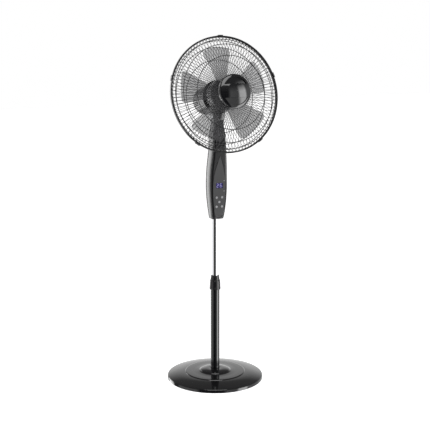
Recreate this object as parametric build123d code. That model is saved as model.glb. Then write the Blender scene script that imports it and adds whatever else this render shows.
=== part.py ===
from build123d import *
from math import cos, sin, radians, hypot
import os

# Pedestal fan. Millimetres and degrees, +Z up, front towards -Y, origin on the floor under the pole.

# base and pole
baseRadius = 190.0
footHeight = 3.0
footRadius = 8.0
footCircle = 165.0
plateThickness = 1.2
poleRadius = 18.0
poleWall = 1.5
poleBottom = 14.0
poleTop = 386.0
mastRadius = 13.0
mastWall = 1.4
mastBottom = 322.0
mastTop = 765.0
slideGap = 0.08
looseGap = 0.3
ringBottom = 367.0
ringTop = 404.0
colletTop = 424.0

# control housing and neck: height, width, front y, rear y of each section
towerSections = [
    (654.0, 50.0, -32.5, 18.5),
    (677.0, 57.0, -37.0, 20.0),
    (708.0, 64.0, -39.5, 22.0),
    (745.0, 70.0, -40.5, 23.5),
    (784.0, 72.5, -41.0, 24.0),
    (830.0, 70.5, -42.5, 23.0),
    (870.0, 66.0, -46.0, 20.0),
    (920.0, 58.0, -50.0, 16.5),
    (960.0, 53.0, -50.0, 14.5),
    (1000.0, 44.5, -48.0, 14.0),
    (1038.0, 37.0, -44.5, 14.0),
]
towerBottom = towerSections[0][0]
towerTop = towerSections[-1][0]
cornerRadius = 9.0
rearCorner = 12.0
sideStart = 1.3
sideEnd = 2.8
shellWall = 2.4
seamY = -12.0
panelDepth = 1.3
windowWidth = 29.0
windowHeight = 20.0
windowZ = 786.0
buttonRadius = 4.3
buttonTravel = 0.8
buttonPlaces = [(-11.5, 740.0), (11.5, 740.0), (0.0, 722.0), (-11.5, 704.0), (11.5, 704.0)]

# head: distances along the fan axis are called s, positive forwards
headHeight = 1118.5
headTilt = 12.19
tiltY = -12.0
tiltZ = 1050.0
tongueHalf = 8.0
tongueRadius = 8.5
cheekRadius = 11.0
motorRadius = 54.5
shaftRadius = 4.0
guardRadius = 220.0
wireRadius = 0.85
wireCount = 96
rearPath = [(44.0, 29.9), (70.0, 29.9), (165.0, 46.0), (202.0, 64.0), (212.6, 90.0)]
frontPath = [(40.0, 166.8), (66.0, 166.8), (165.0, 142.0), (200.0, 118.0), (212.6, 92.0)]
supportRadii = [138.0, 184.0, 206.5]
supportWire = 1.3
rimWire = 1.6
rimRingRadius = 215.1
rimPlane = 91.0
rimWidth = 9.0
clipAngles = [90.0, 18.0, -54.0, -126.0, 162.0]
capRadius = 63.5
capBand = 24.8
bladeAngles = [97.0, 25.0, 313.0, 241.0, 169.0]
bladeTip = 178.0
hubRadius = 62.0

headPlane = Plane(
    origin=(0, 0, headHeight),
    x_dir=(1, 0, 0),
    z_dir=(0, -cos(radians(headTilt)), sin(radians(headTilt))),
)
# the tilt axis seen from the head: along s, and upwards
tiltS = -tiltY * cos(radians(headTilt)) + (tiltZ - headHeight) * sin(radians(headTilt))
tiltUp = tiltY * sin(radians(headTilt)) + (tiltZ - headHeight) * cos(radians(headTilt))


def save(name, *shapes):
    solids = []
    for shape in shapes:
        solids += list(shape.solids())
    result = solids[0] if len(solids) == 1 else Compound(children=solids)
    export_step(result, f"parts/{name}.step")
    print(name, len(solids), round(sum(s.volume for s in solids) / 1000, 2))


def turned(points, arc=360.0):
    corners = [(r, 0, z) for r, z in points]
    face = make_face(Polyline(*corners, close=True))
    return revolve(face, Axis.Z, revolution_arc=arc)


def turnedCurves(curves):
    edges = []
    for curve in curves:
        corners = [(r, 0, z) for r, z in curve]
        edges.append(ThreePointArc(*corners) if len(corners) == 3 else Line(*corners))
    return revolve(make_face(edges), Axis.Z)


def tube(outer, inner, low, high):
    return turned([(inner, low), (outer, low), (outer, high), (inner, high)])


def rod(radius, low, high):
    return Pos(0, 0, (low + high) / 2) * Cylinder(radius, high - low)


def crossRod(radius, y, z, low, high):
    return Pos((low + high) / 2, y, z) * Rot(0, 90, 0) * Cylinder(radius, high - low)


def deepRod(radius, x, z, low, high):
    return Pos(x, (low + high) / 2, z) * Rot(90, 0, 0) * Cylinder(radius, high - low)


def block(x, y, z):
    size = [x[1] - x[0], y[1] - y[0], z[1] - z[0]]
    return Pos((x[0] + x[1]) / 2, (y[0] + y[1]) / 2, (z[0] + z[1]) / 2) * Box(*size)


def around(shape, count, start=0.0):
    return [Rot(0, 0, start + 360.0 * i / count) * shape for i in range(count)]


def head(shape):
    return headPlane.location * shape


def screw(x, y, head_low, head_high, tip, shank=2.4, cap=4.5):
    top = Pos(x, y, 0) * rod(cap, head_low, head_high)
    joint = head_low if tip < head_low else head_high
    stem = Pos(x, y, 0) * rod(shank, min(tip, joint), max(tip, joint))
    return top + stem


os.makedirs("parts", exist_ok=True)

# ---- base ----
coverTop = [
    ((baseRadius, footHeight), (baseRadius, 12)),
    ((baseRadius, 12), (baseRadius - 1.2, 15.4), (baseRadius - 4, 17)),
    ((baseRadius - 4, 17), (152, 24.6), (119, 28.6)),
    ((119, 28.6), (117, 30.3), (114, 31)),
    ((114, 31), (66, 31.6)),
    ((66, 31.6), (61.5, 32.6), (57.5, 36)),
    ((57.5, 36), (42, 39.6), (26, 40.8)),
    ((26, 40.8), (poleRadius + looseGap, 41)),
]
coverUnder = [
    (poleRadius + looseGap, 41), (poleRadius + looseGap, 37.6), (26, 37.4), (55, 31.5), (60, 28.8),
    (113, 28), (118, 25.4), (152, 21.2), (184, 14), (187, 11), (187, footHeight), (baseRadius, footHeight),
]
under = [tuple(coverUnder[i:i + 2]) for i in range(len(coverUnder) - 1)]
save("base_cover", turnedCurves(coverTop + under))

weightScrews = [(120 * cos(radians(a)), 120 * sin(radians(a))) for a in (45, 135, 225, 315)]
socketScrews = [(35 * cos(radians(a)), 35 * sin(radians(a))) for a in (0, 90, 180, 270)]
plateTop = footHeight + plateThickness
plate = tube(186.5, 5.2, footHeight, plateTop)
weight = tube(150, 52, plateTop, plateTop + 6)
socket = turned([
    (5.2, plateTop), (45, plateTop), (45, 9), (21, 9), (21, poleBottom), (16.3, poleBottom),
    (16.3, 95), (12, 95), (12, 20), (5.2, 20),
])
screws = []
for x, y in socketScrews:
    hole = Pos(x, y, 0) * rod(2.5, 0, 20)
    plate -= hole
    socket -= hole
    screws.append(screw(x, y, 9, 11.5, 3.3))
for x, y in weightScrews:
    hole = Pos(x, y, 0) * rod(2.5, 0, 20)
    plate -= hole
    weight -= hole
    screws.append(screw(x, y, plateTop + 6, plateTop + 8.5, 3.3))
save("base_plate", plate)
save("base_weight", weight)
save("pole_socket", socket)
save("base_screws", *screws)
foot = turned([(0, 0), (footRadius - 1, 0), (footRadius, 1), (footRadius, footHeight), (0, footHeight)])
centreFoot = turned([(0, 0), (17, 0), (18, 1), (18, footHeight), (0, footHeight)])
save("base_feet", centreFoot, *around(Pos(footCircle, 0, 0) * foot, 6, 30))
boltHead = Pos(0, 0, 20) * extrude(RegularPolygon(9, 6), 6)
save("pole_bolt", boltHead + rod(5.0, footHeight + 0.2, 20))

# ---- pole, height lock and mast ----
save("outer_tube", tube(poleRadius, poleRadius - poleWall, poleBottom, poleTop))
colletBore = mastRadius + slideGap
collet = turned([
    (colletBore, 345), (poleRadius - poleWall - 0.1, 345), (poleRadius - poleWall - 0.1, poleTop),
    (poleRadius, poleTop), (poleRadius, ringTop + 1), (15.5, colletTop - 0.8), (14.8, colletTop),
    (colletBore, colletTop),
])
for angle in (0, 90, 180, 270):
    collet -= Rot(0, 0, angle) * block((10, 20), (-0.8, 0.8), (ringTop + 4, colletTop + 1))
save("tube_collet", collet)
lockRing = turned([
    (poleRadius + looseGap, ringBottom), (21.2, ringBottom), (22, ringBottom + 1), (22, ringBottom + 3),
    (20.2, ringTop - 1), (19.6, ringTop), (poleRadius + looseGap, ringTop),
])
for groove in around(Pos(22.6, 0, 0) * rod(1.2, ringBottom + 5, ringTop - 4), 24):
    lockRing -= groove
save("height_lock_ring", lockRing)
save("inner_tube", tube(mastRadius, mastRadius - mastWall, mastBottom, mastTop))
save("tube_end_bush", turned([
    (11.6, mastBottom - 4), (16.38, mastBottom - 4), (16.38, mastBottom + 18),
    (13.05, mastBottom + 18), (13.05, mastBottom), (11.6, mastBottom),
]))


# ---- control housing and neck ----
def frontY(z):
    for low, high in zip(towerSections, towerSections[1:]):
        if low[0] <= z <= high[0]:
            part = (z - low[0]) / (high[0] - low[0])
            return low[2] + part * (high[2] - low[2])
    return towerSections[-1][2]


def towerSection(z, width, front, rear, inset):
    # flat front with tight corners, bulging sides, round rear corners
    half = width / 2 - inset
    low = front + inset
    high = rear - inset
    tight = cornerRadius - inset
    wide = rearCorner - inset
    near = half - sideStart
    far = half - sideEnd
    turn = sin(radians(45))
    right = [
        ((near - tight, low), (near - tight + turn * tight, low + tight - turn * tight), (near, low + tight)),
        ((near, low + tight), (half, (low + high) / 2), (far, high - wide)),
        ((far, high - wide), (far - wide + turn * wide, high - wide + turn * wide), (far - wide, high)),
    ]
    edges = [ThreePointArc(*[(x, y, z) for x, y in arc]) for arc in right]
    edges.append(Line((far - wide, high, z), (wide - far, high, z)))
    edges += [ThreePointArc(*[(-x, y, z) for x, y in arc[::-1]]) for arc in right[::-1]]
    edges.append(Line((tight - near, low, z), (near - tight, low, z)))
    return make_face(edges)


def tower(inset):
    return loft([towerSection(*section, inset) for section in towerSections])


def frontPrism(points, low=-80.0, high=60.0):
    curve = Spline(*[(x, low, z) for x, z in points])
    closing = Line(curve @ 1, curve @ 0)
    return extrude(make_face([curve, closing]), dir=(0, 1, 0), amount=high - low)


def leaf(grow):
    right = [(0.5, 900 + grow * 1.6), (12 + grow, 869), (21 + grow, 833), (26 + grow, 795),
             (26.8 + grow, 762), (25 + grow, 730), (21 + grow, 697), (17 + grow, 667 - grow)]
    left = [(-x, z) for x, z in right]
    low = -80.0
    edges = [
        Spline(*[(x, low, z) for x, z in right]),
        Line((right[0][0], low, right[0][1]), (left[0][0], low, left[0][1])),
        Spline(*[(x, low, z) for x, z in left]),
        ThreePointArc((left[-1][0], low, left[-1][1]), (0, low, 663 - grow), (right[-1][0], low, right[-1][1])),
    ]
    return extrude(make_face(edges), dir=(0, 1, 0), amount=80.0 + seamY - 10)


def upperRegion(lift):
    curve = Spline((-44, -80, 960 + lift), (-24, -80, 950 + lift), (0, -80, 922 + lift),
                   (24, -80, 950 + lift), (44, -80, 960 + lift))
    corners = Polyline((44, -80, 960 + lift), (44, -80, 1100), (-44, -80, 1100), (-44, -80, 960 + lift))
    return extrude(make_face([curve] + list(corners.edges())), dir=(0, 1, 0), amount=160)


outer = tower(0)
inner = tower(shellWall) - block((-60, 60), (-80, 60), (600, towerBottom + 3.5))
inner -= block((-60, 60), (-80, 60), (towerTop - 3, 1100))
shell = outer - inner
shell -= rod(mastRadius + 0.2, 640, 670)
shell -= block((-tongueHalf - 0.4, tongueHalf + 0.4), (-23, -1), (1020, 1060))
frontHalf = block((-60, 60), (-80, seamY - 0.05), (600, 1100))
rearHalf = block((-60, 60), (seamY + 0.05, 80), (600, 1100))
housing = shell - upperRegion(0)
neck = shell & upperRegion(0.6)

skin = outer - tower(panelDepth)
panel = skin & leaf(0)
housingFront = (housing & frontHalf) - ((tower(-1.5) - tower(panelDepth + 0.05)) & leaf(0.45))
halfW = windowWidth / 2
halfH = windowHeight / 2
windowCut = block((-halfW, halfW), (-80, -30), (windowZ - halfH, windowZ + halfH))
windowGlass = block((-halfW + 0.15, halfW - 0.15), (-80, -30), (windowZ - halfH + 0.15, windowZ + halfH - 0.15))
panel -= windowCut
housingFront -= block((-halfW + 1.5, halfW - 1.5), (-80, -30), (windowZ - halfH + 1.5, windowZ + halfH - 1.5))
window = skin & windowGlass
for z in (804.0, 764.0):
    dot = deepRod(1.75, 19.5, z, -80, -30)
    panel -= dot
    housingFront -= dot
dots = [deepRod(1.6, 19.5, z, frontY(z) - 0.1, frontY(z) + shellWall) for z in (804.0, 764.0)]

buttons = []
for x, z in buttonPlaces:
    hole = deepRod(buttonRadius + looseGap, x, z, -80, -30)
    panel -= hole
    housingFront -= hole
    face = frontY(z)
    cap = deepRod(buttonRadius, x, z, face - 0.9, face + 4)
    flange = deepRod(buttonRadius + 1, x, z, face + shellWall + 0.7, face + shellWall + 1.7)
    stem = deepRod(1.5, x, z, face + 4, -31.9)
    buttons.append(fillet(cap.edges().sort_by(Axis.Y)[0], 0.5) + flange + stem)
save("front_panel", panel)
save("display_window", window)
save("indicator_lights", *dots)
for number, button in enumerate(buttons):
    save(f"button_{number + 1}", button)

moduleY = frontY(windowZ) + shellWall + 0.3
save("display_module", block((-16, 16), (moduleY, moduleY + 4), (windowZ - 12, windowZ + 12)))
segments = {"2": "abged", "6": "acdefg"}
bars = {
    "a": (0, 7.0, 4.4, 1.6), "g": (0, 0, 4.4, 1.6), "d": (0, -7.0, 4.4, 1.6),
    "b": (3.1, 3.5, 1.6, 5.2), "c": (3.1, -3.5, 1.6, 5.2), "f": (-3.1, 3.5, 1.6, 5.2), "e": (-3.1, -3.5, 1.6, 5.2),
}
digitBars = []
for centre, digit in ((-7.0, "2"), (7.0, "6")):
    for key in segments[digit]:
        x, z, width, height = bars[key]
        low = (centre + x - width / 2, centre + x + width / 2)
        high = (windowZ + z - height / 2, windowZ + z + height / 2)
        digitBars.append(block(low, (moduleY - 0.45, moduleY - 0.05), high))
save("display_digits", *digitBars)
save("control_board", block((-22, 22), (-30.8, -29.2), (692, 830)))
save("power_board", block((-21, 21), (-5.8, -4.2), (790, 880)))
capacitor = Pos(-2, 5.5, 848) * Cylinder(8.5, 34)
save("run_capacitor", fillet(capacitor.edges(), 1))
clamp = block((-16.5, 16.5), (-20, 13.9), (658, 750))
clamp = fillet(clamp.edges().filter_by(Axis.Z), 8) - rod(mastRadius + 0.06, 650, 755)
clamp -= crossRod(2.55, -16.4, 700, -20, 20)
save("tube_clamp", clamp)
save("clamp_screw", crossRod(2.4, -16.4, 700, -14, 16.6) + crossRod(4.2, -16.4, 700, 16.6, 19.5))

rearHousing = housing & rearHalf
rearNeck = neck & rearHalf
rearScrewPlaces = [(-19.5, 716), (19.5, 716), (-15, 886), (15, 886)]
rearScrews = []
for x, z in rearScrewPlaces:
    rearHousing -= deepRod(3.8, x, z, 0, 60)
    rearScrews.append(deepRod(3.5, x, z, 12.5, 15.5) + deepRod(1.6, x, z, -9, 12.5))
for x in (-12, 12):
    rearNeck -= deepRod(3.4, x, 985, 0, 60)
    rearScrews.append(deepRod(3.1, x, 985, 9.5, 12.5) + deepRod(1.5, x, 985, -9, 9.5))
save("housing_front", housingFront)
save("housing_rear", rearHousing)
save("neck_front", neck & frontHalf)
save("neck_rear", rearNeck)
save("housing_screws", *rearScrews)

# ---- tilt joint ----
core = block((-tongueHalf, tongueHalf), (tiltY - tongueRadius, tiltY + tongueRadius), (964, tiltZ))
core += crossRod(tongueRadius, tiltY, tiltZ, -tongueHalf, tongueHalf)
core += block((-15, 15), (tiltY - 15, tiltY + 15), (958, 966))
core -= crossRod(4.6, tiltY, tiltZ, -30, 30)
save("tilt_post", core)


def headRod(radius, s, low, high):
    return Pos(0, (low + high) / 2, s) * Rot(90, 0, 0) * Cylinder(radius, high - low)


def headCross(radius, low, high):
    return Pos((low + high) / 2, tiltUp, tiltS) * Rot(0, 90, 0) * Cylinder(radius, high - low)


bracketTop = -56.1
bracket = block((-18.5, 18.5), (tiltUp + tongueRadius + 0.3, bracketTop), (tiltS - 11, tiltS + 11))
for side in (-1, 1):
    low, high = sorted((side * (tongueHalf + 0.35), side * 18.5))
    bracket += headCross(cheekRadius, low, high)
    bracket += block((low, high), (tiltUp, bracketTop), (tiltS - 11, tiltS + 11))
bracket -= headCross(4.6, -30, 30)
bracket -= headRod(6.05, tiltS, tiltUp + 5, 0)
bracket -= headCross(7.2, 15.5, 30) + headCross(7.2, -30, -15.5)
save("tilt_bracket", head(bracket))
tiltNut = Pos(15.6, tiltUp, tiltS) * Rot(0, 90, 0) * extrude(RegularPolygon(6.9, 6) - Circle(4.6), 2.4)
save("tilt_bolt", head(headCross(4.5, -15.6, 18) + headCross(6.8, -18, -15.6)), head(tiltNut))
pinTop = -43.0
save("swivel_pin", head(headRod(6.0, tiltS, tiltUp + tongueRadius + 0.5, pinTop) + headRod(8.5, tiltS, pinTop, -41.2)))

# ---- motor ----
coverShell = turned([
    (motorRadius, -20), (motorRadius, 17), (50, 24), (46, 25), (16, 25), (16, 40), (8.05, 40),
    (8.05, 24), (5.2, 24), (5.2, 21.5), (45, 21.5), (48, 20.5), (51.8, 15), (51.8, -20),
])
boss = headRod(17, tiltS, -55.8, -43.2) - headRod(6.08, tiltS, -60, -40)
coverShell = coverShell - headRod(12, tiltS, -60, -40) + boss
save("motor_front_cover", head(coverShell))
rearShell = turned([
    (motorRadius, -20.1), (motorRadius, -78), (53, -90), (48.5, -98), (42, -103.5), (36, -105), (0, -105),
    (0, -102.4), (35, -102.4), (41, -101), (46.5, -96), (50.6, -88.5), (51.9, -78), (51.9, -20.1),
])
motorScrews = []
for angle in (45, 135, 225, 315):
    x = 33 * cos(radians(angle))
    y = 33 * sin(radians(angle))
    rearShell -= Pos(x, y, 0) * rod(2.1, -110, -95)
    motorScrews.append(screw(x, y, -107.2, -105.1, -67.8, 1.9, 3.8))
for row in range(-3, 4):
    for side in (-1, 1):
        slot = block((-60, 60), (6.0 * row - 1.2, 6.0 * row + 1.2), (-72, -44))
        rearShell -= slot & block((side * 40 - 20, side * 40 + 20), (-60, 60), (-80, -30))
save("motor_rear_shell", head(rearShell))
save("motor_screws", *[head(s) for s in motorScrews])
save("motor_stator", head(tube(40, 26, -50, -5)))
save("motor_windings", head(tube(38, 27.5, -61, -50.2)), head(tube(38, 27.5, -4.8, 6)))
save("motor_rotor", head(tube(25.5, shaftRadius + 0.05, -50, -5)))
save("motor_shaft", head(rod(shaftRadius, -74, 112)))
save("motor_bearings", *[head(tube(8.0, shaftRadius + 0.06, s, s + 7)) for s in (24.3, -73)])
bell = tube(51.6, 8.05, -67.6, -63.6) + tube(12, 8.05, -73, -63.6)
save("rear_end_bell", head(bell))
save("swing_motor", head(rod(24, -96, -80) + rod(5, -80, -76)))

# ---- guard ----
def wireOn(path):
    line = FilletPolyline(*[(r, 0, s) for r, s in path], radius=14)
    start = Plane(origin=line @ 0, z_dir=line % 0)
    return sweep(start * Circle(wireRadius), path=line)


def besidePath(path, radius, side):
    for low, high in zip(path, path[1:]):
        if low[0] <= radius <= high[0]:
            length = hypot(high[0] - low[0], high[1] - low[1])
            dr = (high[0] - low[0]) / length
            ds = (high[1] - low[1]) / length
            along = (radius - low[0]) / dr
            gap = side * (wireRadius + supportWire + 0.06)
            return low[0] + along * dr - gap * ds, low[1] + along * ds + gap * dr
    return radius, 0


def hoop(radius, s, wire):
    face = Plane(origin=(radius, 0, s), z_dir=(0, 1, 0)) * Circle(wire)
    return revolve(face, Axis.Z)


rearWire = wireOn(rearPath)
frontWire = wireOn(frontPath)
save("rear_guard_wires", *[head(w) for w in around(rearWire, wireCount, 0)])
save("front_guard_wires", *[head(w) for w in around(frontWire, wireCount, 180.0 / wireCount)])
rearRings = [hoop(*besidePath(rearPath, r, 1), supportWire) for r in supportRadii]
frontRings = [hoop(*besidePath(frontPath, r, -1), supportWire) for r in supportRadii]
rearRings.append(hoop(rimRingRadius, rimPlane - rimWire - 0.1, rimWire))
frontRings.append(hoop(rimRingRadius, rimPlane + rimWire + 0.1, rimWire))
save("rear_guard_rings", *[head(r) for r in rearRings])
save("front_guard_rings", *[head(r) for r in frontRings])
hubPlate = tube(64, 16.3, 26.2, 28.7)
for lobe in around(Pos(40, 0, 0) * rod(5, 20, 40), 6):
    hubPlate -= lobe
save("rear_hub_plate", head(hubPlate))
guardNut = tube(29, 16.1, 28.9, 37.5)
for flute in around(Pos(31.5, 0, 0) * rod(4.5, 20, 45), 12):
    guardNut -= flute
save("guard_nut", head(guardNut))
frontPlate = tube(61, 12, 163.2, 165.7)
for hole in around(Pos(20, 0, 0) * rod(1.8, 150, 170), 3, 30):
    frontPlate -= hole
save("front_hub_plate", head(frontPlate))
bandLow = rimPlane - rimWidth / 2
bandHigh = rimPlane + rimWidth / 2
save("rim_band", head(tube(guardRadius, guardRadius - 3.1, bandLow, bandHigh)))
clipProfile = [
    (217.2, bandLow - 2.2), (222.0, bandLow - 2.2), (222.8, bandLow - 1.2), (222.8, bandHigh + 1.2),
    (222.0, bandHigh + 2.2), (217.2, bandHigh + 2.2), (217.2, bandHigh + 0.2), (220.2, bandHigh + 0.2),
    (220.2, bandLow - 0.2), (217.2, bandLow - 0.2),
]
clip = Rot(0, 0, -2.6) * turned(clipProfile, 5.2)
save("rim_clips", *[head(Rot(0, 0, a) * clip) for a in clipAngles])

# ---- dome cap ----
domeRadius = 140.0
domeTop = 197.5
domeShell = Pos(0, 0, domeTop - domeRadius) * (Sphere(domeRadius) - Sphere(domeRadius - 5.0))
domeShell &= rod(capRadius, 150, 210)
scoop = Pos(0, 0, domeTop - domeRadius) * (Sphere(domeRadius + 5) - Sphere(domeRadius - 2.2))
scoop &= rod(52.0, 150, 210)
skirt = tube(capRadius, capRadius - 2.6, 168.2, 181.0)
for side in (-1, 1):
    low, high = sorted((side * capBand, side * 80))
    domeShell -= scoop & block((-80, 80), (low, high), (150, 210))
skirt -= Pos(0, 0, domeTop - domeRadius) * (Sphere(domeRadius + 40) - Sphere(domeRadius - 0.01))
cap = domeShell + skirt
save("dome_cap", head(cap))
capScrews = [head(Rot(0, 0, 30 + 120 * i) * screw(20, 0, 160.6, 163.1, 180, 1.5, 3.6)) for i in range(3)]
save("cap_screws", *capScrews)


# ---- fan blade ----
def bladeSection(radius, half, slope, camber):
    upper = []
    lower = []
    for i in range(7):
        y = half * (2 * i / 6 - 1)
        s = 78 + slope * y + camber * (1 - (y / half) ** 2)
        upper.append((radius, y, s + 1.0))
        lower.append((radius, y, s - 1.0))
    edges = [Spline(*upper), Line(upper[-1], lower[-1]), Spline(*lower), Line(lower[0], upper[0])]
    return make_face(edges)


def bladeOutline():
    lead = [(54, -29), (90, -43), (130, -58), (156, -66)]
    trail = [(54, 25), (90, 34), (130, 47), (158, 57)]
    tipLow = (170, -61)
    tipMid = (bladeTip, -4)
    tipHigh = (171, 52)
    edges = [
        Spline(*[(x, y, 40) for x, y in lead + [tipLow]]),
        ThreePointArc((*tipLow, 40), (*tipMid, 40), (*tipHigh, 40)),
        Spline(*[(x, y, 40) for x, y in [tipHigh] + trail[::-1]]),
        Line((54, 25, 40), (54, -29, 40)),
    ]
    return extrude(make_face(edges), dir=(0, 0, 1), amount=80)


vane = loft([bladeSection(50, 38, 0.45, 5), bladeSection(115, 62, 0.3, 8), bladeSection(185, 84, 0.2, 9)])
vane = vane & bladeOutline()
fan = turned([
    (hubRadius - 2.5, 57), (hubRadius, 57), (hubRadius, 96), (58, 100), (12, 101), (12, 102), (shaftRadius + 0.05, 102),
    (shaftRadius + 0.05, 64), (10, 64), (10, 97.5), (57, 97.3), (hubRadius - 2.5, 95),
])
for angle in bladeAngles:
    fan += Rot(0, 0, angle) * (vane - rod(hubRadius - 1, 30, 130))
save("fan_blade", head(fan))
nut = turned([(shaftRadius + 0.05, 102.2), (17, 102.2), (17, 106), (12, 114), (8, 117), (0, 118), (0, 113), (shaftRadius + 0.05, 113)])
save("blade_nut", head(nut))
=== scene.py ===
import bpy
import math
from mathutils import Matrix, Vector


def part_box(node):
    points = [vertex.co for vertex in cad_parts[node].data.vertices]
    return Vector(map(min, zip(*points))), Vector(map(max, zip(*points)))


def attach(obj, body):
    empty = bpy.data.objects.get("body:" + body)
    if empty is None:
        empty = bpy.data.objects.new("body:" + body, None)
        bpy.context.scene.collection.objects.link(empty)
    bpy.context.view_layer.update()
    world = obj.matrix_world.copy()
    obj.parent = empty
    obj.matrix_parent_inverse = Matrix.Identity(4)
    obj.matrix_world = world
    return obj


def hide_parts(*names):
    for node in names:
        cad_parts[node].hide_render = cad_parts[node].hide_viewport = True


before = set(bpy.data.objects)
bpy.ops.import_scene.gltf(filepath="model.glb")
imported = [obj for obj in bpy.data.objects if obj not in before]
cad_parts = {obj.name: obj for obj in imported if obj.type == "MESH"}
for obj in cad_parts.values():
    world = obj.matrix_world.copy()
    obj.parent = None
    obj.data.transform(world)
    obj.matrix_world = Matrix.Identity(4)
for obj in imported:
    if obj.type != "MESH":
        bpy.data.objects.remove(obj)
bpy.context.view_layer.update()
print("frame loaded:", len(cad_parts), "nodes")

view = {"location": (-1.661, -3.570, 1.430), "turn": -24.95, "down": 11.01, "lens": 86.17}
headTilt = math.radians(12.19)
headMatrix = Matrix((
    (1, 0, 0, 0),
    (0, math.sin(headTilt), -math.cos(headTilt), 0),
    (0, math.cos(headTilt), math.sin(headTilt), 1.1185),
    (0, 0, 0, 1),
))


def addCamera():
    bpy.ops.object.camera_add(location=view["location"])
    camera = bpy.context.object
    camera.rotation_euler = (math.radians(90 - view["down"]), 0, math.radians(view["turn"]))
    camera.data.lens = view["lens"]
    camera.data.sensor_width = 36
    bpy.context.scene.camera = camera


addCamera()

studio = {
    # degrees round from the camera, brightness
    "strips": [(-180, 1.0), (-152, 0.9), (-146, 0.12), (-141, 3.6), (-120, 3.6), (-114, 0.1), (-99, 0.1),
               (-92, 0.75), (-44, 0.75), (-37, 0.01), (21, 0.01), (30, 0.75), (54, 0.6), (60, 5.0), (80, 5.0),
               (86, 0.8), (110, 0.6), (180, 1.0)],
    "low": 0.25, "high": 0.52, "above": 0.15,  # where the strips fade upwards, and the level over them
    "backdrop": 1.0,
    "floor": (0.93, 0.93, 0.93), "floorGlow": 0.9, "floorSize": 24,
    "lampPlace": (-0.6, -1.6, 3.6), "lampWatts": 60, "lampSize": 2.4, "lampLean": 24, "lampTurn": -20,
}


def nodeTree(owner):
    owner.use_nodes = True
    owner.node_tree.nodes.clear()
    return owner.node_tree


def addNode(tree, kind, inputs=None, **settings):
    node = tree.nodes.new(kind)
    for key, value in settings.items():
        setattr(node, key, value)
    for key, value in (inputs or {}).items():
        if isinstance(value, bpy.types.NodeSocket):
            tree.links.new(value, node.inputs[key])
        else:
            node.inputs[key].default_value = value
    return node


def buildStudio():
    # strip lights stand round the object, and only the camera sees the plain backdrop
    bpy.context.scene.world = bpy.data.worlds.new("studio")
    tree = nodeTree(bpy.context.scene.world)
    place = addNode(tree, "ShaderNodeTexCoord")
    turned = addNode(tree, "ShaderNodeVectorRotate", {"Vector": place.outputs["Generated"],
                                                      "Angle": math.radians(-view["turn"])},
                     rotation_type="Z_AXIS")
    axes = addNode(tree, "ShaderNodeSeparateXYZ", {0: turned.outputs[0]})
    ahead = addNode(tree, "ShaderNodeMath", {0: axes.outputs["Y"], 1: -1.0}, operation="MULTIPLY")
    around = addNode(tree, "ShaderNodeMath", {0: axes.outputs["X"], 1: ahead.outputs[0]}, operation="ARCTAN2")
    share = addNode(tree, "ShaderNodeMapRange", {"Value": around.outputs[0], "From Min": -math.pi,
                                                 "From Max": math.pi})
    strips = addNode(tree, "ShaderNodeValToRGB", {"Fac": share.outputs[0]})
    stops = strips.color_ramp.elements
    while len(stops) < len(studio["strips"]):
        stops.new(0.5)
    for stop, (degrees, level) in zip(stops, studio["strips"]):
        stop.position = (degrees + 180) / 360
        stop.color = (level, level, level, 1)
    overhead = addNode(tree, "ShaderNodeMapRange", {"Value": axes.outputs["Z"], "From Min": studio["low"],
                                                    "From Max": studio["high"]})
    sky = addNode(tree, "ShaderNodeMix", {0: overhead.outputs[0]}, data_type="RGBA")
    tree.links.new(strips.outputs["Color"], sky.inputs[6])
    sky.inputs[7].default_value = (studio["above"], studio["above"], studio["above"], 1)
    ray = addNode(tree, "ShaderNodeLightPath")
    lights = addNode(tree, "ShaderNodeBackground", {"Color": sky.outputs[2], "Strength": 1.0})
    plain = addNode(tree, "ShaderNodeBackground", {"Color": (1, 1, 1, 1), "Strength": studio["backdrop"]})
    mixed = addNode(tree, "ShaderNodeMixShader", {0: ray.outputs["Is Camera Ray"], 1: lights.outputs[0],
                                                  2: plain.outputs[0]})
    addNode(tree, "ShaderNodeOutputWorld", {"Surface": mixed.outputs[0]})
    bpy.ops.mesh.primitive_plane_add(size=studio["floorSize"])
    floor = bpy.context.object
    floor.name = "floor"
    paint = bpy.data.materials.new("paleFloor")
    tree = nodeTree(paint)
    shader = addNode(tree, "ShaderNodeBsdfPrincipled", {
        "Base Color": (*studio["floor"], 1), "Roughness": 0.9, "Specular IOR Level": 0.0,
        "Emission Color": (1, 1, 1, 1), "Emission Strength": studio["floorGlow"]})
    addNode(tree, "ShaderNodeOutputMaterial", {"Surface": shader.outputs[0]})
    floor.data.materials.append(paint)
    floor.visible_glossy = False
    bpy.ops.object.light_add(type="AREA", location=studio["lampPlace"])
    lamp = bpy.context.object
    lamp.data.energy = studio["lampWatts"]
    lamp.data.size = studio["lampSize"]
    lamp.rotation_euler = (math.radians(studio["lampLean"]), 0, math.radians(studio["lampTurn"]))
    bpy.context.scene.view_settings.view_transform = "Standard"


buildStudio()
print("camera and studio ready")


grainInputs = {"Grain Scale": 900.0, "Cloud Scale": 14.0, "Roughness": 0.3, "Variation": 0.06, "Dust": 0.05}
dustColour = (0.35, 0.34, 0.32, 1)


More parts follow.
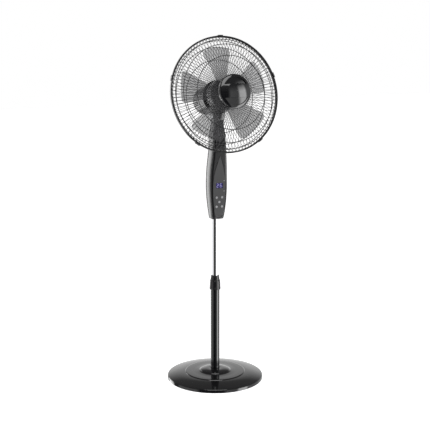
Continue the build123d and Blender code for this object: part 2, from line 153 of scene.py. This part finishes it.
def grainGroup():
    # fine moulded texture, a soft cloudy change in gloss, and dust on what faces up
    group = bpy.data.node_groups.new("mouldedGrain", "ShaderNodeTree")
    for name, value in grainInputs.items():
        socket = group.interface.new_socket(name=name, in_out="INPUT", socket_type="NodeSocketFloat")
        socket.default_value = value
    colour = group.interface.new_socket(name="Colour", in_out="INPUT", socket_type="NodeSocketColor")
    colour.default_value = (0.02, 0.02, 0.02, 1)
    group.interface.new_socket(name="Colour", in_out="OUTPUT", socket_type="NodeSocketColor")
    group.interface.new_socket(name="Roughness", in_out="OUTPUT", socket_type="NodeSocketFloat")
    group.interface.new_socket(name="Height", in_out="OUTPUT", socket_type="NodeSocketFloat")
    given = addNode(group, "NodeGroupInput")
    place = addNode(group, "ShaderNodeTexCoord")
    fine = addNode(group, "ShaderNodeTexNoise", {"Vector": place.outputs["Object"], "Detail": 2.0,
                                                 "Scale": given.outputs["Grain Scale"]})
    cloud = addNode(group, "ShaderNodeTexNoise", {"Vector": place.outputs["Object"], "Detail": 3.0,
                                                  "Scale": given.outputs["Cloud Scale"]})
    swing = addNode(group, "ShaderNodeMath", {0: cloud.outputs["Fac"], 1: 0.5}, operation="SUBTRACT")
    spread = addNode(group, "ShaderNodeMath", {0: swing.outputs[0], 1: given.outputs["Variation"],
                                               2: given.outputs["Roughness"]}, operation="MULTIPLY_ADD")
    upward = addNode(group, "ShaderNodeNewGeometry")
    axes = addNode(group, "ShaderNodeSeparateXYZ", {0: upward.outputs["Normal"]})
    lying = addNode(group, "ShaderNodeMath", {0: axes.outputs["Z"], 1: given.outputs["Dust"]},
                    operation="MULTIPLY", use_clamp=True)
    patchy = addNode(group, "ShaderNodeMath", {0: lying.outputs[0], 1: cloud.outputs["Fac"]},
                     operation="MULTIPLY")
    dusty = addNode(group, "ShaderNodeMix", {0: patchy.outputs[0]}, data_type="RGBA")
    group.links.new(given.outputs["Colour"], dusty.inputs[6])
    dusty.inputs[7].default_value = dustColour
    addNode(group, "NodeGroupOutput", {"Colour": dusty.outputs[2], "Roughness": spread.outputs[0],
                                       "Height": fine.outputs["Fac"]})
    return group


grain = grainGroup()


# what a finish has where its own line says nothing
usualFinish = {"variation": 0.06, "grain": 900.0, "cloud": 14.0, "dust": 0.03, "relief": 0.1, "depth": 0.0002,
               "metal": 0.0, "ior": 1.5, "coat": 0.0, "coatRoughness": 0.04, "alpha": 1.0}


def finish(name, ownLook):
    look = {**usualFinish, **ownLook}
    paint = bpy.data.materials.new(name)
    tree = nodeTree(paint)
    surface = addNode(tree, "ShaderNodeGroup", node_tree=grain)
    surface.inputs["Colour"].default_value = (*look["colour"], 1)
    surface.inputs["Roughness"].default_value = look["roughness"]
    surface.inputs["Variation"].default_value = look["variation"]
    surface.inputs["Grain Scale"].default_value = look["grain"]
    surface.inputs["Cloud Scale"].default_value = look["cloud"]
    surface.inputs["Dust"].default_value = look["dust"]
    relief = addNode(tree, "ShaderNodeBump", {"Height": surface.outputs["Height"], "Strength": look["relief"],
                                              "Distance": look["depth"]})
    shader = addNode(tree, "ShaderNodeBsdfPrincipled", {
        "Base Color": surface.outputs["Colour"], "Roughness": surface.outputs["Roughness"],
        "Normal": relief.outputs[0], "Metallic": look["metal"], "IOR": look["ior"],
        "Coat Weight": look["coat"], "Coat Roughness": look["coatRoughness"], "Alpha": look["alpha"]})
    if "glow" in look:
        shader.inputs["Emission Color"].default_value = (*look["glow"], 1)
        shader.inputs["Emission Strength"].default_value = look["power"]
    addNode(tree, "ShaderNodeOutputMaterial", {"Surface": shader.outputs[0]})
    return paint


looks = {
    "glossBlack": {"colour": (0.006, 0.006, 0.007), "roughness": 0.09, "variation": 0.05, "relief": 0.02,
                   "coat": 0.5, "dust": 0.02},
    "satinBlack": {"colour": (0.008, 0.008, 0.009), "roughness": 0.17, "variation": 0.06, "relief": 0.08},
    "panelBlack": {"colour": (0.018, 0.018, 0.019), "roughness": 0.36, "relief": 0.1},
    "enamelBlack": {"colour": (0.006, 0.006, 0.007), "roughness": 0.07, "relief": 0.03, "coat": 0.6},
    "chromePlate": {"colour": (0.86, 0.86, 0.88), "roughness": 0.035, "variation": 0.02, "metal": 1.0,
                    "relief": 0.01, "dust": 0.0},
    "wireBlack": {"colour": (0.008, 0.008, 0.009), "roughness": 0.28, "relief": 0.1, "dust": 0.0},
    "bladeSmoke": {"colour": (0.1, 0.1, 0.105), "roughness": 0.22, "relief": 0.02, "alpha": 0.43,
                   "dust": 0.0},
    "windowTint": {"colour": (0.02, 0.015, 0.12), "roughness": 0.06, "alpha": 0.35, "relief": 0.0,
                   "dust": 0.0},
    "screenBlue": {"colour": (0.02, 0.015, 0.13), "roughness": 0.3, "glow": (0.03, 0.025, 0.16),
                   "power": 0.7, "dust": 0.0},
    "digitLilac": {"colour": (0.7, 0.66, 0.95), "roughness": 0.4, "glow": (0.62, 0.58, 0.9),
                   "power": 0.9, "dust": 0.0},
    "lensGrey": {"colour": (0.4, 0.4, 0.42), "roughness": 0.15, "dust": 0.0},
    "buttonGrey": {"colour": (0.27, 0.27, 0.28), "roughness": 0.35, "relief": 0.1, "dust": 0.0},
    "rubberBlack": {"colour": (0.015, 0.015, 0.015), "roughness": 0.7, "relief": 0.3},
    "boardGreen": {"colour": (0.02, 0.09, 0.04), "roughness": 0.4, "relief": 0.2},
    "zincSteel": {"colour": (0.55, 0.56, 0.58), "roughness": 0.32, "metal": 1.0, "relief": 0.1, "dust": 0.0},
    "castIron": {"colour": (0.08, 0.08, 0.08), "roughness": 0.6, "metal": 0.6, "grain": 300.0, "relief": 0.5},
    "dieCast": {"colour": (0.42, 0.42, 0.44), "roughness": 0.45, "metal": 1.0, "grain": 400.0, "relief": 0.3},
    "copperWire": {"colour": (0.55, 0.22, 0.09), "roughness": 0.35, "metal": 1.0, "grain": 500.0,
                   "relief": 0.4},
}
paints = {name: finish(name, look) for name, look in looks.items()}
wearing = {
    "glossBlack": ["base_cover", "dome_cap"],
    "satinBlack": ["housing_front", "housing_rear", "neck_front", "neck_rear", "motor_rear_shell",
                   "tilt_bracket", "rim_clips", "rim_band",
                   "height_lock_ring", "tube_collet", "guard_nut", "blade_nut",
                   "motor_front_cover", "tube_end_bush"],
    "panelBlack": ["front_panel"],
    "enamelBlack": ["outer_tube"],
    "chromePlate": ["inner_tube"],
    "wireBlack": ["rear_guard_wires", "front_guard_wires", "rear_guard_rings", "front_guard_rings",
                  "rear_hub_plate", "front_hub_plate"],
    "bladeSmoke": ["fan_blade"],
    "windowTint": ["display_window"],
    "screenBlue": ["display_module"],
    "digitLilac": ["display_digits"],
    "lensGrey": ["indicator_lights"],
    "buttonGrey": ["button_1", "button_2", "button_3", "button_4", "button_5"],
    "rubberBlack": ["base_feet"],
    "boardGreen": ["control_board", "power_board", "run_capacitor"],
    "castIron": ["base_weight"],
    "dieCast": ["pole_socket", "tube_clamp", "tilt_post", "rear_end_bell"],
    "copperWire": ["motor_windings"],
}


def paintNodes():
    left = dict(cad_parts)
    for name, nodes in wearing.items():
        for node in nodes:
            piece = left.pop(node)
            piece.data.materials.clear()
            piece.data.materials.append(paints[name])
    for piece in left.values():
        piece.data.materials.clear()
        piece.data.materials.append(paints["zincSteel"])


paintNodes()
print("finishes on every part")


def startPiece():
    if bpy.context.object and bpy.context.object.mode != "OBJECT":
        bpy.ops.object.mode_set(mode="OBJECT")
    bpy.ops.object.select_all(action="DESELECT")


def lathe(name, profile, segments):
    # rings of (radius, height) in millimetres, extruded one after another and joined end to end
    startPiece()
    radius, height = profile[0]
    bpy.ops.mesh.primitive_circle_add(vertices=segments, radius=radius / 1000, location=(0, 0, height / 1000))
    piece = bpy.context.object
    piece.name = name
    bpy.ops.object.transform_apply(location=True)
    bpy.ops.object.mode_set(mode="EDIT")
    bpy.ops.mesh.select_all(action="SELECT")
    for (oldRadius, oldHeight), (radius, height) in zip(profile, profile[1:]):
        rise = (height - oldHeight) / 1000
        bpy.ops.mesh.extrude_region_move(TRANSFORM_OT_translate={"value": (0, 0, rise)})
        grow = radius / oldRadius
        bpy.ops.transform.resize(value=(grow, grow, 1), center_override=(0, 0, height / 1000))
    bpy.ops.mesh.select_all(action="DESELECT")
    bpy.ops.mesh.select_mode(type="EDGE")
    bpy.ops.mesh.select_non_manifold()
    bpy.ops.mesh.bridge_edge_loops()
    bpy.ops.mesh.select_all(action="SELECT")
    bpy.ops.mesh.normals_make_consistent(inside=False)
    bpy.ops.object.mode_set(mode="OBJECT")
    return piece


def applyModifier(piece, kind, **settings):
    bpy.context.view_layer.objects.active = piece
    modifier = piece.modifiers.new(kind.lower(), kind)
    for key, value in settings.items():
        setattr(modifier, key, value)
    bpy.ops.object.modifier_apply(modifier=modifier.name)


def arcPoints(start, middle, end, count):
    # points of an even curve through three given ones
    points = []
    for i in range(1, count + 1):
        t = i / count
        a, b, c = (1 - t) * (1 - 2 * t), 4 * t * (1 - t), t * (2 * t - 1)
        points.append(tuple(a * p + b * q + c * r for p, q, r in zip(start, middle, end)))
    return points


def finishPiece(piece, paint, body, slot, *replaced, angle=35):
    startPiece()
    bpy.context.view_layer.objects.active = piece
    piece.select_set(True)
    bpy.ops.object.shade_smooth_by_angle(angle=math.radians(angle))
    piece.data.materials.clear()
    piece.data.materials.append(paints[paint])
    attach(piece, body)
    if replaced:
        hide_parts(*replaced)
    piece.select_set(False)


baseCover = {
    "segments": 192,
    "rim": [(187.2, 3.0), (189.3, 3.0), (190, 3.8), (190, 11.6)],
    "rimTurn": ((190, 11.6), (188.9, 15.2), (185.6, 17.1)),
    "slope": ((185.6, 17.1), (152, 24.7), (119.6, 28.5)),
    "step": ((119.6, 28.5), (117.4, 30.4), (113.6, 31.0)),
    "plateau": [(90, 31.3), (66.5, 31.6)],
    "cove": ((66.5, 31.6), (61.2, 32.8), (57.6, 36.0)),
    "dome": ((57.6, 36.0), (42, 39.8), (25.5, 40.9)),
    "collar": [(20.4, 41.0), (18.6, 40.6), (18.6, 37.6)],
    "under": [(26, 37.4), (55, 31.5), (60, 28.8), (113, 28), (118, 25.4), (152, 21.2), (184, 14), (187, 11)],
}


def buildBaseCover():
    shape = baseCover
    profile = list(shape["rim"])
    for name, count in (("rimTurn", 5), ("slope", 8), ("step", 4)):
        profile += arcPoints(*shape[name], count)
    profile += shape["plateau"]
    for name, count in (("cove", 5), ("dome", 6)):
        profile += arcPoints(*shape[name], count)
    profile += shape["collar"] + shape["under"]
    piece = lathe("baseCover", profile, shape["segments"])
    finishPiece(piece, "glossBlack", "stand", "black_gloss", "base_cover")


buildBaseCover()
print("base cover")

# lengths along the fan's own axis, and the band's half width
domeCap = {
    "radius": 63.5, "sphere": 140.0, "top": 197.5, "back": 168.2, "backRound": 0.6, "segments": 128,
    "edgeTurn": [(0, -3.4), (-0.5, -1.3), (-2.0, 0.4)],
    "firstRing": 5.0, "ringStep": 3.5, "lastRing": 2.0, "pole": 0.05, "poleDrop": 0.01,
    "band": 24.8, "scoopRadius": 52.0, "scoopDepth": 60.0, "scoopRound": 7.0,
    "floorSphere": 260.0, "floorTop": 188.5, "scoopEdge": 0.9,
}


def scoopCutter(side):
    shape = domeCap
    startPiece()
    bpy.ops.mesh.primitive_cylinder_add(vertices=96, radius=shape["scoopRadius"] / 1000,
                                        depth=shape["scoopDepth"] / 1000,
                                        location=(0, 0, shape["top"] / 1000))
    cutter = bpy.context.object
    bpy.ops.object.transform_apply(location=True)
    bpy.ops.object.mode_set(mode="EDIT")
    bpy.ops.mesh.select_all(action="SELECT")
    bpy.ops.mesh.bisect(plane_co=(0, side * shape["band"] / 1000, 0), plane_no=(0, side, 0),
                        use_fill=True, clear_inner=True)
    bpy.ops.object.mode_set(mode="OBJECT")
    applyModifier(cutter, "BEVEL", width=shape["scoopRound"] / 1000, segments=6, limit_method="ANGLE",
                  angle_limit=math.radians(60))
    bpy.ops.mesh.primitive_uv_sphere_add(segments=192, ring_count=160, radius=shape["floorSphere"] / 1000,
                                         location=(0, 0, (shape["floorTop"] - shape["floorSphere"]) / 1000))
    floor = bpy.context.object
    applyModifier(cutter, "BOOLEAN", operation="DIFFERENCE", object=floor, solver="EXACT")
    bpy.data.objects.remove(floor)
    return cutter


def buildDomeCap():
    shape = domeCap
    centre = shape["top"] - shape["sphere"]
    edge = centre + math.sqrt(shape["sphere"] ** 2 - shape["radius"] ** 2)
    rim, turn = shape["radius"], shape["backRound"]
    profile = [(shape["pole"], shape["back"]), (rim - turn, shape["back"]), (rim, shape["back"] + turn)]
    profile += [(rim + inward, edge + rise) for inward, rise in shape["edgeTurn"]]
    radius = rim - shape["firstRing"]
    while radius > shape["lastRing"]:
        profile.append((radius, centre + math.sqrt(shape["sphere"] ** 2 - radius ** 2)))
        radius -= shape["ringStep"]
    profile.append((shape["pole"], shape["top"] - shape["poleDrop"]))
    piece = lathe("domeCap", profile, shape["segments"])
    for side in (1, -1):
        cutter = scoopCutter(side)
        applyModifier(piece, "BOOLEAN", operation="DIFFERENCE", object=cutter, solver="EXACT")
        bpy.data.objects.remove(cutter)
    applyModifier(piece, "BEVEL", width=shape["scoopEdge"] / 1000, segments=3, limit_method="ANGLE",
                  angle_limit=math.radians(38))
    piece.data.transform(headMatrix)
    finishPiece(piece, "glossBlack", "motor_head", "black_gloss", "dome_cap", angle=30)


buildDomeCap()
print("dome cap")

panelBead = {
    "half": [(0.6, 900.6), (12.2, 869), (21.2, 833), (26.2, 795), (27.0, 762), (25.2, 730), (21.2, 697),
             (17.0, 667)],
    "foot": (0.0, 663.0),
    "radius": 0.8,
    # the panel is sought a little inside the outline, more so low down, where it narrows
    "inset": 0.985, "lowInset": 0.97, "lowBelow": 700, "highest": 898, "start": -200, "sunk": 2.0,
}


def buildPanelBead():
    # a fine rolled edge round the leaf, laid on the front panel by casting straight back at it
    shape = panelBead
    outline = shape["half"] + [shape["foot"]] + [(-x, z) for x, z in shape["half"][::-1]]
    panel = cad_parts["front_panel"]
    startPiece()
    bpy.ops.curve.primitive_bezier_curve_add()
    bead = bpy.context.object
    bead.name = "panelBead"
    bead.data.splines.clear()
    spline = bead.data.splines.new("BEZIER")
    spline.bezier_points.add(len(outline) - 1)
    for point, (x, z) in zip(spline.bezier_points, outline):
        inset = shape["inset"] if z > shape["lowBelow"] else shape["lowInset"]
        origin = Vector((x * inset, shape["start"], min(z, shape["highest"]))) / 1000
        hit, place, _, _ = panel.ray_cast(origin, Vector((0, 1, 0)))
        depth = place.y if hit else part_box("front_panel")[0].y + shape["sunk"] / 1000
        point.co = (x / 1000, depth, z / 1000)
        point.handle_left_type = "AUTO"
        point.handle_right_type = "AUTO"
    spline.use_cyclic_u = True
    spline.resolution_u = 10
    bead.data.bevel_depth = shape["radius"] / 1000
    bead.data.bevel_resolution = 2
    bpy.ops.object.convert(target="MESH")
    finishPiece(bpy.context.object, "glossBlack", "mast", "black_gloss")


buildPanelBead()
print("panel edge")
